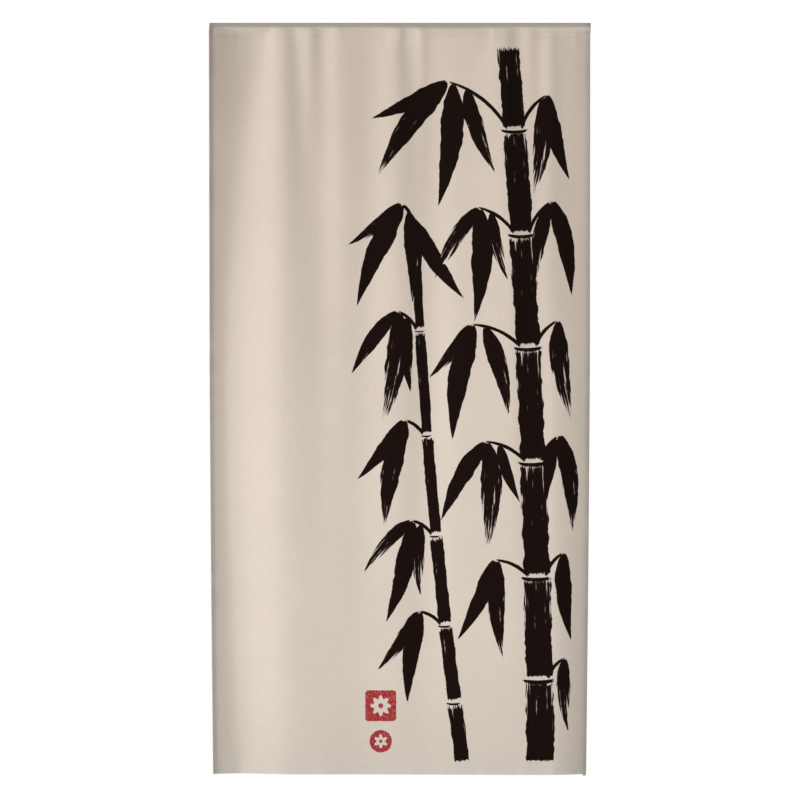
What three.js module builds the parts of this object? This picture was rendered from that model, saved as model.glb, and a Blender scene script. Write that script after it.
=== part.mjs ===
// Door curtain: one printed cloth panel that hangs from a sewn rod pocket, in soft uneven folds.
// Millimetres, +Z up. The origin is the middle of the top edge, and the printed front faces -Y.

import * as THREE from "three";

const { clamp, lerp, smoothstep } = THREE.MathUtils;

// Overall size
const DROP = 1800; // top edge to bottom edge
const TOP_WIDTH = 912; // between the side edges at the pocket
const BOTTOM_WIDTH = 894; // the panel narrows a little towards its hem
const NARROWS_FROM = 0.42; // share of the drop where the narrowing starts
const NARROWING = 1.4; // how the narrowing gathers: 1 is even, more leaves it for later
const BOTTOM_TILT = 3; // the left end of the bottom edge hangs this much higher than the right end
const CORNER_TIP = 5; // the end of the hem pokes out this far below the right corner

// Cloth and sewing
const CLOTH = 1.2; // one layer
const HEM_LAYER = 1.2; // what a turned hem adds behind the cloth
const SIDE_HEM = 10;
const BOTTOM_HEM = 20;
const HEM_STEP = 0.5; // the hem's inner edge slopes over this distance
const SEWN_GAP = 0.3; // between two sewn pieces

// Rod pocket
const POCKET_DROP = 34; // top edge to the seam under the pocket
const BORE_RADIUS = 7; // inside the pocket where the rod lies
const ROD_DROP = CLOTH + BORE_RADIUS; // top edge to the middle of the rod
const BORE_APEX = 30.5; // the front and back walls meet this far below the top edge
const SEAM_LAP = 6; // the turned end of the pocket reaches this far below the seam, behind the panel
const SWELL_OUT = [8, 28]; // a fold that pushes a wall outwards grows to full between these drops
const SWELL_IN = [18, 28]; // one that pushes a wall inwards starts lower, clear of the rod

// Mesh steps
const COLUMN_STEP = 11.5;
const PANEL_ROWS = 20;
const ROW_CROWDING = 1.35; // over 1 crowds the rows towards the seam
const ARC_STEPS = 10; // round the rod
const WALL_STEPS = 4; // down each straight wall of the pocket

const CLOTH_COLOUR = 0xd3c6b8;

// The folds are given at four levels: at the seam, at two places below it and at the bottom edge.
const LEVELS = [0.02, 0.2, 0.47, 1]; // shares of the drop

// Folds from left to right, each with its values at the four levels. A fold stands forward by its height, or
// back where that is negative. Its half-width may differ to the left and to the right of its crest.
const FOLDS = [
  { x: [-334, -383, -410, -382], height: [-3, -5, -10, -10], left: [60, 56, 40, 60], right: [30, 50, 70, 80] },
  { x: [-284, -280, -276, -262], height: [6.5, 9, 9.5, 6], left: [34, 46, 60, 75], right: [31, 50, 85, 120] },
  { x: [-216, -211, -212, -210], height: [4.6, 1, 0.3, 0], left: [20, 24, 30, 40], right: [22, 28, 40, 60] },
  { x: [-147, -138, -138, -150], height: [4.4, 5, 3, 1], left: [28, 38, 42, 60], right: [48, 56, 48, 60] },
  { x: [-11, -8, -6, -12], height: [4.4, 6.2, 6, 1.5], left: [30, 50, 62, 80], right: [22, 48, 50, 60] },
  { x: [51, 50, 50, 50], height: [2.1, 0.5, 0, 0], left: [18, 16, 30, 40], right: [15, 20, 30, 40] },
  { x: [140, 138, 138, 140], height: [2.5, 3.5, 5, 2], left: [55, 46, 46, 70], right: [60, 60, 70, 110] },
  { x: [243, 252, 264, 280], height: [5.4, 8.6, 7, 1.5], left: [42, 82, 92, 90], right: [28, 38, 44, 60] },
  { x: [310, 311, 312, 312], height: [1.8, 0.6, 0, 0], left: [18, 22, 30, 40], right: [18, 22, 30, 40] },
  { x: [358, 358, 356, 354], height: [2, 1.6, 0.6, 0], left: [18, 22, 34, 50], right: [18, 26, 34, 50] },
];

// The side edges turn forward, or back where the depth is negative, starting at their reach from the edge.
// A bend of 1 is a flat turned edge, and 2 bends it evenly.
const EDGE_TURNS = [
  { side: -1, bend: 2, depth: [15, 9, 1, 6], reach: [114, 92, 40, 90] },
  { side: 1, bend: 1.6, depth: [-6, -12, -16, -18], reach: [90, 120, 96, 84] },
];

function halfWidth(drop) {
  const lower = Math.max(0, (drop / DROP - NARROWS_FROM) / (1 - NARROWS_FROM));
  return lerp(TOP_WIDTH, BOTTOM_WIDTH, lower ** NARROWING) / 2;
}

// The slope of a smooth curve through values at the levels, where it passes one of them.
function slopeAt(values, level) {
  const before = Math.max(level - 1, 0);
  const after = Math.min(level + 1, LEVELS.length - 1);
  return (values[after] - values[before]) / (LEVELS[after] - LEVELS[before]);
}

// The value of that curve at a drop.
function along(values, drop) {
  const share = clamp(drop / DROP, LEVELS[0], LEVELS.at(-1));
  const i = Math.min(LEVELS.findLastIndex((level) => level <= share), LEVELS.length - 2);
  const span = LEVELS[i + 1] - LEVELS[i];
  const t = (share - LEVELS[i]) / span;
  const bend = slopeAt(values, i) * (1 - t) - slopeAt(values, i + 1) * t;
  const straight = (values[i + 1] - values[i]) * (1 - 2 * t);
  return lerp(values[i], values[i + 1], t) + t * (1 - t) * (bend * span - straight);
}

function foldShape(fold, x, drop) {
  const away = x - along(fold.x, drop);
  const width = along(away < 0 ? fold.left : fold.right, drop);
  return along(fold.height, drop) * Math.exp(-((away / width) ** 2));
}

function edgeShape(turn, x, drop) {
  const inside = halfWidth(drop) - turn.side * x;
  const turned = Math.max(0, 1 - inside / along(turn.reach, drop));
  return along(turn.depth, drop) * turned ** turn.bend;
}

// How far the cloth stands forward at a place across it and a drop below the top edge.
function foldDepth(x, drop) {
  const folds = FOLDS.reduce((sum, fold) => sum + foldShape(fold, x, drop), 0);
  return EDGE_TURNS.reduce((sum, turn) => sum + edgeShape(turn, x, drop), folds);
}

// The columns of the cloth, as shares of its half-width from -1 to 1. A side hem has one column
// at its edge, one in its middle and one at its inner side, and the plain cloth starts a step further in.
function clothColumns() {
  const half = TOP_WIDTH / 2;
  const plain = half - SIDE_HEM - HEM_STEP;
  const steps = Math.ceil((2 * plain) / COLUMN_STEP);
  const plainPlaces = Array.from({ length: steps + 1 }, (_, i) => lerp(-plain, plain, i / steps));
  const hemPlaces = [half - SIDE_HEM, half - SIDE_HEM / 2, half];
  const places = [...hemPlaces.map((x) => -x).reverse(), ...plainPlaces, ...hemPlaces];
  return places.map((x, i) => {
    const isHem = i < hemPlaces.length || i >= places.length - hemPlaces.length;
    return { share: x / half, isHem, isTip: i === places.length - 2 };
  });
}

// The rows of the panel from the seam to the bottom edge. The side hems start under the pocket's lap.
function panelRows() {
  const seam = POCKET_DROP + SEWN_GAP;
  const lapEnd = POCKET_DROP + SEAM_LAP + HEM_STEP;
  const hemTop = DROP - BOTTOM_HEM;
  const rows = [{ drop: seam }, { drop: lapEnd }];
  for (let i = 0; i < PANEL_ROWS; i++) {
    const down = (i / (PANEL_ROWS - 1)) ** ROW_CROWDING;
    rows.push({ drop: lerp(lapEnd + HEM_STEP, hemTop - HEM_STEP, down), hasSideHem: true });
  }
  rows.push({ drop: hemTop, hasSideHem: true, isBottomHem: true });
  rows.push({ drop: DROP, hasSideHem: true, isBottomHem: true, isEdge: true });
  return rows;
}

// A point of the panel. The hems are turned to the back, so only the back face steps.
function panelPoint(column, row, isBack) {
  const x = column.share * halfWidth(row.drop);
  const turns = (column.isHem && row.hasSideHem ? 1 : 0) + (row.isBottomHem ? 1 : 0);
  const fromMiddle = isBack ? CLOTH / 2 + HEM_LAYER * turns : -CLOTH / 2;
  const point = new THREE.Vector3(x, fromMiddle - foldDepth(x, row.drop), -row.drop);
  if (row.isEdge) {
    point.z += (BOTTOM_TILT * (1 - column.share)) / 2;
    point.z -= column.isTip ? CORNER_TIP : 0;
  }
  return point;
}

// A closed solid between a front and a back grid of points.
function solidBetween(front, back) {
  const rows = front.length;
  const columns = front[0].length;
  const lastRow = rows - 1;
  const lastColumn = columns - 1;
  const index = [];
  const quad = (a, b, c, d) => index.push(a, b, c, a, c, d);
  const f = (row, column) => row * columns + column;
  const b = (row, column) => (rows + row) * columns + column;
  for (let r = 0; r < lastRow; r++) {
    for (let c = 0; c < lastColumn; c++) {
      quad(f(r, c), f(r + 1, c), f(r + 1, c + 1), f(r, c + 1));
      quad(b(r, c), b(r, c + 1), b(r + 1, c + 1), b(r + 1, c));
    }
    quad(f(r, 0), b(r, 0), b(r + 1, 0), f(r + 1, 0));
    quad(f(r + 1, lastColumn), b(r + 1, lastColumn), b(r, lastColumn), f(r, lastColumn));
  }
  for (let c = 0; c < lastColumn; c++) {
    quad(f(0, c + 1), b(0, c + 1), b(0, c), f(0, c));
    quad(f(lastRow, c), b(lastRow, c), b(lastRow, c + 1), f(lastRow, c + 1));
  }
  return new THREE.BufferGeometry().setFromPoints([...front.flat(), ...back.flat()]).setIndex(index);
}

function panelGeometry() {
  const columns = clothColumns();
  const grid = (isBack) => panelRows().map((row) => columns.map((column) => panelPoint(column, row, isBack)));
  return solidBetween(grid(false), grid(true));
}

// The pocket in section is an arc over the rod and two straight walls that lean in towards an apex.
// This is one straight wall, from where it stands "depth" from the middle up to the arc.
function pocketWall(radius, apex, lean, depth) {
  const lower = new THREE.Vector2(depth, depth / Math.tan(lean) - apex);
  const upper = new THREE.Vector2(radius * Math.cos(lean), -ROD_DROP - radius * Math.sin(lean));
  return Array.from({ length: WALL_STEPS }, (_, i) => lower.clone().lerp(upper, i / WALL_STEPS));
}

// Both walls and the arc, up the front, over the rod and down the back.
function pocketSection(radius, apex, lean, frontDepth, backDepth) {
  const front = pocketWall(radius, apex, lean, frontDepth);
  const arc = Array.from({ length: ARC_STEPS + 1 }, (_, i) => {
    const turn = lerp(-lean, Math.PI + lean, i / ARC_STEPS);
    return new THREE.Vector2(-radius * Math.cos(turn), radius * Math.sin(turn) - ROD_DROP);
  });
  const back = pocketWall(radius, apex, lean, backDepth).reverse();
  return [...front.map((p) => new THREE.Vector2(-p.x, p.y)), ...arc, ...back];
}

// The inside of the pocket, whose walls share the apex.
function boreSection(lean) {
  return pocketSection(BORE_RADIUS, BORE_APEX, lean, 0, 0).slice(0, -1);
}

// The outside of the pocket. Under the apex its walls run down to the seam, and the back one laps the panel.
function coverSection(lean) {
  const apex = BORE_APEX + CLOTH / Math.sin(lean);
  const lapFront = CLOTH / 2 + SEWN_GAP;
  const lapBack = lapFront + CLOTH;
  const lapEnd = POCKET_DROP + SEAM_LAP;
  return [
    new THREE.Vector2(-CLOTH / 2, -POCKET_DROP),
    ...pocketSection(BORE_RADIUS + CLOTH, apex, lean, CLOTH / 2, lapBack),
    new THREE.Vector2(lapBack, -POCKET_DROP),
    new THREE.Vector2(lapBack, -lapEnd),
    new THREE.Vector2(lapFront, -lapEnd),
    new THREE.Vector2(lapFront, -POCKET_DROP),
  ];
}

// A point of a section at a place across the curtain, where the folds swell the walls.
function pocketPoint(x, sectionPoint) {
  const drop = -sectionPoint.y;
  const forward = foldDepth(x, Math.max(drop, POCKET_DROP));
  const isOutwards = sectionPoint.x < 0 === forward > 0;
  const swell = smoothstep(drop, ...(isOutwards ? SWELL_OUT : SWELL_IN));
  return new THREE.Vector3(x, sectionPoint.x - forward * swell, sectionPoint.y);
}

// The rod pocket: the top of the cloth, turned over to the back and sewn down, open at both ends.
function pocketGeometry() {
  const lean = Math.asin(BORE_RADIUS / (BORE_APEX - ROD_DROP));
  const cover = coverSection(lean);
  const bore = boreSection(lean);
  const section = [...cover, ...bore];
  const places = clothColumns().map((column) => (column.share * TOP_WIDTH) / 2);
  const points = places.flatMap((x) => section.map((p) => pocketPoint(x, p)));
  const index = [];
  const strip = (first, count, facesOut) => {
    for (let k = 0; k < count; k++) {
      const a = first + k;
      const b = first + ((k + 1) % count);
      const [c, d] = [a + section.length, b + section.length];
      index.push(...(facesOut ? [a, c, b, b, c, d] : [a, b, c, b, d, c]));
    }
  };
  for (let place = 0; place + 1 < places.length; place++) {
    strip(place * section.length, cover.length, true);
    strip(place * section.length + cover.length, bore.length, false);
  }
  const last = (places.length - 1) * section.length;
  THREE.ShapeUtils.triangulateShape(cover, [bore]).forEach(([a, b, c]) => {
    index.push(a, c, b);
    index.push(last + a, last + b, last + c);
  });
  return new THREE.BufferGeometry().setFromPoints(points).setIndex(index);
}

function clothMesh(name, geometry) {
  geometry.computeVertexNormals();
  const material = new THREE.MeshStandardMaterial({ color: CLOTH_COLOUR, roughness: 0.92, metalness: 0 });
  const mesh = new THREE.Mesh(geometry, material);
  mesh.name = name;
  return mesh;
}

const curtain = new THREE.Group();
curtain.name = "door_curtain";
curtain.add(clothMesh("panel", panelGeometry()));
curtain.add(clothMesh("rod_pocket", pocketGeometry()));

export default curtain;
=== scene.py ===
# Door curtain: a printed cloth panel with turned hems, hung by a sewn rod pocket, in soft uneven folds.
# Metres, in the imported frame: +Z up, the origin in the middle of the top edge, the printed front towards -Y.

import math

import bpy
import numpy as np
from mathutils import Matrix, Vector


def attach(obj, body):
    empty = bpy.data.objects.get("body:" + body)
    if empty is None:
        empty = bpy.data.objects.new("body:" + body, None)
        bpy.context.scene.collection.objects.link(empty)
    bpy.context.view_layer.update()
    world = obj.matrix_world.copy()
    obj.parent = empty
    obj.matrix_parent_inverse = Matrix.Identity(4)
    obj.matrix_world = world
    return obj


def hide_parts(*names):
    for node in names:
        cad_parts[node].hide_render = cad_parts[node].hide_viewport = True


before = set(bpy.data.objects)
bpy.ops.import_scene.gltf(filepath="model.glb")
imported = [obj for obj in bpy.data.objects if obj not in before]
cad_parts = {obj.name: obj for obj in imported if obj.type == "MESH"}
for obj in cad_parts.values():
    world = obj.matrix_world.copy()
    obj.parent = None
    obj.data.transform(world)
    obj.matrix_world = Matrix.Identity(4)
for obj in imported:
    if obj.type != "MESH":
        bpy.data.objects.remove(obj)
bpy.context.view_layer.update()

MM = 0.001

# Overall size
DROP = 1800 * MM  # top edge to bottom edge
TOP_WIDTH = 912 * MM  # between the side edges at the pocket
BOTTOM_WIDTH = 894 * MM  # the panel narrows a little towards its hem
NARROWS_FROM = 0.42  # share of the drop
NARROWING = 1.4  # 1 is even, more leaves it for later
BOTTOM_TILT = 3 * MM  # the left end of the bottom edge hangs this much higher
TILT_REACH = 60 * MM  # it builds up over this much of the drop
CORNER_TIP = 5 * MM  # the hem's end pokes out below the right corner
CORNER_TIP_INSET = 5 * MM  # from the side edge to its middle
CORNER_TIP_WIDTH = 4 * MM  # half its width
CORNER_TIP_REACH = 10 * MM  # likewise

# Cloth and sewing
CLOTH = 0.9 * MM  # one layer
HEM_LAYER = 0.9 * MM  # what a turned hem adds behind it
SIDE_HEM = 10 * MM
BOTTOM_HEM = 20 * MM
HEM_STEP = 0.8 * MM  # a hem's inner edge slopes over this distance
HEM_MARGIN = 1.001  # takes in the points on its inner edge
EDGE_ROUND = 0.9 * MM  # a turned edge rounds off over this distance
EDGE_THIN = 0.3  # share of its thickness at the edge
HEM_CURLS = {-1: 1.5 * MM, 1: -0.5 * MM}  # how far each side edge curls forward, left and right
HEM_CURL_BEND = 1.4  # 1 is a flat turn, more bends it towards the edge
SEAM_GROOVE = 0.45 * MM  # how far the stitches draw the seam in
SEAM_GROOVE_WIDTH = 1.8 * MM

# Rod pocket
POCKET_DROP = 34 * MM  # top edge to the seam under the pocket
SOLID_CLOTH = 1.2 * MM  # its thickness in the solids
BORE_RADIUS = 7 * MM  # inside the pocket where the rod lies
ROD_DROP = SOLID_CLOTH + BORE_RADIUS  # top edge to the middle of that space
BORE_APEX = 30.5 * MM  # inside, the walls meet this far below the top edge
SEAM_LAP = 6 * MM  # the pocket's turned end reaches this far below the seam, behind the panel
LAP_BEHIND = 1.5 * MM  # between the middles of the panel's cloth and the lap's

# Drops between which the pocket changes
FOLD_OUT = (7 * MM, 20 * MM)  # its walls come to follow a fold that pushes them outwards
TURN_OUT = (4 * MM, 34 * MM)  # a turned side edge that does so
WALL_IN = (15 * MM, 27 * MM)  # and either of them that pushes them inwards
POCKET_HEM_END = (16 * MM, 25 * MM)  # its side hems thin out

# Painted shade: how much the cloth's colour is darkened down the pocket from its top fold, and in from the
# sides
TOP_SHADE_DROPS = np.array([0, 2, 4, 6.5, 9, 11, 14]) * MM
TOP_SHADES = (0.15, 0.22, 0.36, 0.56, 0.67, 0.46, 0.065)
SIDE_SHADE = 0.26
SIDE_SHADE_REACH = 21 * MM

# Mesh steps
COLUMN_STEP = 3.15 * MM
HEM_COLUMNS = np.array([0, 0.5, 1.2, 2.5, 4, 5.5, 7.2, 9]) * MM  # insets from a side edge
ROW_STEP = 12 * MM
FINEST_ROW = 0.8 * MM  # next to the seam
ROW_GROWTH = 1.22  # from each row to the next, up to the full step
HEM_ROWS = np.array([1, 0.8, 0.6, 0.4, 0.25, 0.125, 0.05, 0.02, 0])  # shares of the bottom hem
POCKET_ROWS = 72
ARC_POINTS = 40  # round the rod
SHARP_ANGLE = 50  # degrees between faces that are shaded apart

# Places on the texture map, where the front and the back of a sheet lie side by side
UV_SIDE = 0.0075
UV_WIDTH = 0.485
UV_TOP = 0.99
UV_HEIGHT = 0.98

# Folds in millimetres at four levels of the drop, as in the solids: forward by their height, or back where
# it is negative, with half-widths to the left and to the right of their crests
LEVELS = np.array([0.02, 0.2, 0.47, 1.0])  # shares of the drop
FOLDS = [
    dict(x=(-334, -383, -410, -382), height=(-3, -5, -10, -10),
         left=(60, 56, 40, 60), right=(30, 50, 70, 80)),
    dict(x=(-284, -280, -276, -262), height=(6.5, 9, 9.5, 6),
         left=(34, 46, 60, 75), right=(31, 50, 85, 120)),
    dict(x=(-216, -211, -212, -210), height=(4.6, 1, 0.3, 0),
         left=(20, 24, 30, 40), right=(22, 28, 40, 60)),
    dict(x=(-147, -138, -138, -150), height=(4.4, 5, 3, 1),
         left=(28, 38, 42, 60), right=(48, 56, 48, 60)),
    dict(x=(-11, -8, -6, -12), height=(4.4, 6.2, 6, 1.5),
         left=(30, 50, 62, 80), right=(22, 48, 50, 60)),
    dict(x=(51, 50, 50, 50), height=(2.1, 0.5, 0, 0),
         left=(18, 16, 30, 40), right=(15, 20, 30, 40)),
    dict(x=(140, 138, 138, 140), height=(2.5, 3.5, 5, 2),
         left=(55, 46, 46, 70), right=(60, 60, 70, 110)),
    dict(x=(243, 252, 264, 280), height=(5.4, 8.6, 7, 1.5),
         left=(42, 82, 92, 90), right=(28, 38, 44, 60)),
    dict(x=(310, 311, 312, 312), height=(1.8, 0.6, 0, 0),
         left=(18, 22, 30, 40), right=(18, 22, 30, 40)),
    dict(x=(358, 358, 356, 354), height=(2, 1.6, 0.6, 0),
         left=(18, 22, 34, 50), right=(18, 26, 34, 50)),
]

# The side edges turn forward in the same way, or back, starting at their reach from the edge
EDGE_TURNS = [
    dict(side=-1, bend=2, depth=(15, 9, 1, 6), reach=(114, 92, 40, 90)),
    dict(side=1, bend=1.6, depth=(-6, -12, -16, -18), reach=(90, 120, 96, 84)),
]

# Puckers that the sewing draws in, in millimetres: how many, how high, how wide and how far they reach
SEAM_PUCKERS = dict(seed=11, count=90, height=0.17, width=(4, 11), reach=(10, 42))
SIDE_PUCKERS = dict(seed=23, count=70, height=0.35, width=(7, 22), reach=(5, 13))
HEM_PUCKERS = dict(seed=37, count=60, height=0.40, width=(7, 20), reach=(14, 40))

# Tucks at the heading in millimetres, ridges or troughs that die away from the seam: x, height, half-width to
# the left and to the right, and reach
TUCKS = [
    (-456, 3.8, 55, 55, 180),
    (-301, 0.5, 10, 10, 16),
    (-293, -1.5, 32, 36, 250),
    (-238, 1.3, 11, 40, 18),
    (-35, -0.8, 20, 20, 16),
    (0, 1, 14, 60, 14),
    (6, -1.2, 60, 16, 60),
    (68, 1.6, 20, 75, 14),
    (75, 4, 170, 130, 25),
    (186, 1.9, 45, 20, 34),
    (263, 0.6, 9, 9, 30),
    (358, -1.5, 24, 60, 14),
    (456, -1.8, 22, 22, 120),
]


# Shape of the hanging cloth


def smooth(value, low, high):
    """A smooth step from 0 at low to 1 at high."""
    t = np.clip((value - low) / (high - low), 0, 1)
    return t * t * (3 - 2 * t)


def half_width(drop):
    lower = np.clip((drop / DROP - NARROWS_FROM) / (1 - NARROWS_FROM), 0, None)
    return (TOP_WIDTH + (BOTTOM_WIDTH - TOP_WIDTH) * lower**NARROWING) / 2


def curve_at(millimetres, drop):
    """A smooth curve through the values at the levels, read at a drop."""
    values = np.array(millimetres) * MM
    before = np.maximum(np.arange(len(LEVELS)) - 1, 0)
    after = np.minimum(np.arange(len(LEVELS)) + 1, len(LEVELS) - 1)
    slopes = (values[after] - values[before]) / (LEVELS[after] - LEVELS[before])
    share = np.clip(drop / DROP, LEVELS[0], LEVELS[-1])
    i = np.clip(np.searchsorted(LEVELS, share, side="right") - 1, 0, len(LEVELS) - 2)
    span = LEVELS[i + 1] - LEVELS[i]
    rise = values[i + 1] - values[i]
    t = (share - LEVELS[i]) / span
    bend = slopes[i] * (1 - t) - slopes[i + 1] * t
    return values[i] + rise * t + t * (1 - t) * (bend * span - rise * (1 - 2 * t))


def fold_depth(x, drop):
    """How far the folds stand forward of the flat."""
    depth = np.zeros(np.broadcast(x, drop).shape)
    for fold in FOLDS:
        away = x - curve_at(fold["x"], drop)
        width = np.where(away < 0, curve_at(fold["left"], drop), curve_at(fold["right"], drop))
        depth += curve_at(fold["height"], drop) * np.exp(-((away / width) ** 2))
    return depth


def turn_depth(x, drop):
    """How far the side edges turn forward."""
    depth = np.zeros(np.broadcast(x, drop).shape)
    for turn in EDGE_TURNS:
        inside = half_width(drop) - turn["side"] * x
        turned = np.clip(1 - inside / curve_at(turn["reach"], drop), 0, None)
        depth += curve_at(turn["depth"], drop) * turned ** turn["bend"]
    return depth


def puckers(place, away, span, seed, count, height, width, reach):
    """Small uneven bumps and dents along a sewn line, dying away from it."""
    rng = np.random.default_rng(seed)
    relief = np.zeros(np.broadcast(place, away).shape)
    for _ in range(count):
        centre = rng.uniform(*span)
        bump = rng.normal(0, height * MM)
        across = rng.uniform(*width) * MM
        fade = rng.uniform(*reach) * MM
        relief += bump * np.exp(-(((place - centre) / across) ** 2) - away / fade)
    return relief


def sewn_relief(x, drop):
    """What the sewing adds: puckers, tucks, the seam's groove and the curl of the side hems."""
    from_seam = np.abs(drop - POCKET_DROP)
    from_bottom = DROP - drop
    half = half_width(drop)
    relief = puckers(x, from_seam, (-TOP_WIDTH / 2, TOP_WIDTH / 2), **SEAM_PUCKERS)
    for crest, height, left, right, reach in TUCKS:
        away = x / MM - crest
        width = np.where(away < 0, left, right)
        relief += height * MM * np.exp(-((away / width) ** 2) - from_seam / MM / reach)
    relief += puckers(x, from_bottom, (-BOTTOM_WIDTH / 2, BOTTOM_WIDTH / 2), **HEM_PUCKERS)
    for side, curl in HEM_CURLS.items():
        inside = half - side * x
        own_puckers = dict(SIDE_PUCKERS, seed=SIDE_PUCKERS["seed"] + side)
        relief += puckers(drop, inside, (POCKET_DROP, DROP), **own_puckers)
        relief += curl * np.clip(1 - inside / SIDE_HEM, 0, None) ** HEM_CURL_BEND
    return relief - SEAM_GROOVE * np.exp(-((from_seam / SEAM_GROOVE_WIDTH) ** 2))


def panel_point(share, drop):
    """The middle of the panel's cloth at a share of its half-width and a drop."""
    x = share * half_width(drop)
    y = -fold_depth(x, drop) - turn_depth(x, drop) - sewn_relief(x, drop)
    tilt = BOTTOM_TILT * (1 - share) / 2 * smooth(drop, DROP - TILT_REACH, DROP)
    from_tip = x - (BOTTOM_WIDTH / 2 - CORNER_TIP_INSET)
    tip = np.exp(-((from_tip / CORNER_TIP_WIDTH) ** 2)) * smooth(drop, DROP - CORNER_TIP_REACH, DROP)
    z = -drop + tilt - CORNER_TIP * tip
    return np.stack(np.broadcast_arrays(x, y, z), axis=-1)


def run_lengths(points):
    """The length along a line of points, up to each of them."""
    return np.concatenate([[0], np.cumsum(np.linalg.norm(np.diff(points, axis=0), axis=1))])


def read_along(places, lengths, rows):
    """Values known at lengths along a line, read at other places on it."""
    return np.stack([np.interp(places, lengths, column) for column in rows.T], axis=-1)


def pocket_path():
    """The pocket in section: rows of (y, drop) from the lap over the rod to the seam, and their lengths."""
    radius = BORE_RADIUS + SOLID_CLOTH / 2
    lean = math.asin(BORE_RADIUS / (BORE_APEX - ROD_DROP))
    apex = BORE_APEX + SOLID_CLOTH / 2 / math.sin(lean)
    turns = np.linspace(-lean, math.pi + lean, ARC_POINTS)
    arc = np.stack([radius * np.cos(turns), ROD_DROP - radius * np.sin(turns)], axis=-1)
    lap_top = apex - LAP_BEHIND / math.tan(lean)
    back = [(LAP_BEHIND, POCKET_DROP + SEAM_LAP), (LAP_BEHIND, lap_top)]
    corners = np.concatenate([back, arc, [(0, apex), (0, POCKET_DROP)]])
    lengths = run_lengths(corners)
    places = np.linspace(0, lengths[-1], POCKET_ROWS)
    path = read_along(places, lengths, corners)
    # Softens the corners of the section
    path[1:-1] = (path[:-2] + 2 * path[1:-1] + path[2:]) / 4
    return path, places


def pocket_point(x, y, drop):
    """The middle of the pocket's cloth. Its walls follow the cloth below, outwards sooner than inwards."""
    below = np.maximum(drop, POCKET_DROP)
    followed = np.zeros(np.broadcast(x, drop).shape)
    folds = fold_depth(x, below) + sewn_relief(x, below)
    for forward, outwards in ((folds, FOLD_OUT), (turn_depth(x, below), TURN_OUT)):
        widens = (y < 0) == (forward > 0)
        followed += forward * np.where(widens, smooth(drop, *outwards), smooth(drop, *WALL_IN))
    return np.stack(np.broadcast_arrays(x, y - followed, -drop), axis=-1)


# Cloth meshes


def cloth_columns():
    """Shares of the half-width, with close columns at the edges and the hems' inner steps."""
    half = TOP_WIDTH / 2
    insets = np.concatenate([HEM_COLUMNS, [SIDE_HEM, SIDE_HEM + HEM_STEP]])
    edge = (half - insets) / half
    inner = half - SIDE_HEM - HEM_STEP
    count = math.ceil(2 * inner / COLUMN_STEP)
    middle = np.linspace(-inner, inner, count + 1)[1:-1] / half
    return np.concatenate([-edge, middle, edge[::-1]])


def panel_rows():
    """Drops from the seam to the bottom edge, close together at both."""
    near_seam = [POCKET_DROP]
    step = FINEST_ROW
    while step < ROW_STEP:
        near_seam.append(near_seam[-1] + step)
        step *= ROW_GROWTH
    middle_end = DROP - BOTTOM_HEM - HEM_STEP
    count = math.ceil((middle_end - near_seam[-1]) / ROW_STEP)
    middle = np.linspace(near_seam[-1], middle_end, count + 1)[1:]
    return np.concatenate([near_seam, middle, DROP - BOTTOM_HEM * HEM_ROWS])


def unit(vectors):
    return vectors / np.linalg.norm(vectors, axis=-1, keepdims=True)


def outward_normals(grid):
    """Unit normals of a grid of points, towards the printed side."""
    down = np.gradient(grid, axis=0)
    right = np.gradient(grid, axis=1)
    return unit(np.cross(down, right))


def rounding(inside):
    """The share of its thickness that the cloth has at a distance inside an edge."""
    left = np.clip(1 - inside / EDGE_ROUND, 0, 1)
    return np.maximum(np.sqrt(1 - left**2), EDGE_THIN)


def from_side(share):
    """The distance inside the nearer side edge."""
    return TOP_WIDTH / 2 * (1 - np.abs(share))


def in_side_hem(share):
    """1 in the side hems and 0 between them."""
    return (from_side(share) <= SIDE_HEM * HEM_MARGIN).astype(float)


# Painted shade that darkens the cloth's colour towards its side edges
def side_shade(share):
    return SIDE_SHADE * (1 - smooth(from_side(share), 0, SIDE_SHADE_REACH))


def sheet_faces(rows, columns):
    """Quads of a closed sheet: the front grid, the back grid and the rim between them."""
    count = rows * columns
    grid = np.arange(count).reshape(rows, columns)
    corners = [grid[:-1, :-1], grid[1:, :-1], grid[1:, 1:], grid[:-1, 1:]]
    front_quads = np.stack(corners, axis=-1).reshape(-1, 4)
    back_quads = front_quads[:, [0, 3, 2, 1]] + count
    loop = np.concatenate([grid[:, 0], grid[-1, 1:], grid[-2::-1, -1], grid[0, -2:0:-1]])
    after = np.roll(loop, -1)
    rim_quads = np.stack([loop, loop + count, after + count, after], axis=-1)
    return front_quads, back_quads, rim_quads


def sheet_uvs(share, length, front_quads, back_quads, rim_quads):
    """Front and back side by side. The rim takes the front's edge."""
    across = (share + 1) / 2 * UV_WIDTH + UV_SIDE
    down = UV_TOP - UV_HEIGHT * (length - length.min()) / (length.max() - length.min())
    front = np.stack([across, down], axis=-1).reshape(-1, 2)
    back = np.stack([1 - across, down], axis=-1).reshape(-1, 2)
    both = np.concatenate([front, back])
    rim = front[rim_quads % len(front)]
    return np.concatenate([both[front_quads], both[back_quads], rim]).reshape(-1, 2)


def add_attribute(mesh, name, kind, values):
    field = {"FLOAT": "value", "FLOAT_VECTOR": "vector", "FLOAT_COLOR": "color"}[kind]
    attribute = mesh.attributes.new(name, kind, "POINT")
    attribute.data.foreach_set(field, np.ascontiguousarray(values, dtype=np.float32).ravel())


def shade_smooth(mesh):
    mesh.polygons.foreach_set("use_smooth", np.ones(len(mesh.polygons), dtype=bool))


def add_object(name, data):
    obj = bpy.data.objects.new(name, data)
    bpy.context.collection.objects.link(obj)
    return obj


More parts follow.
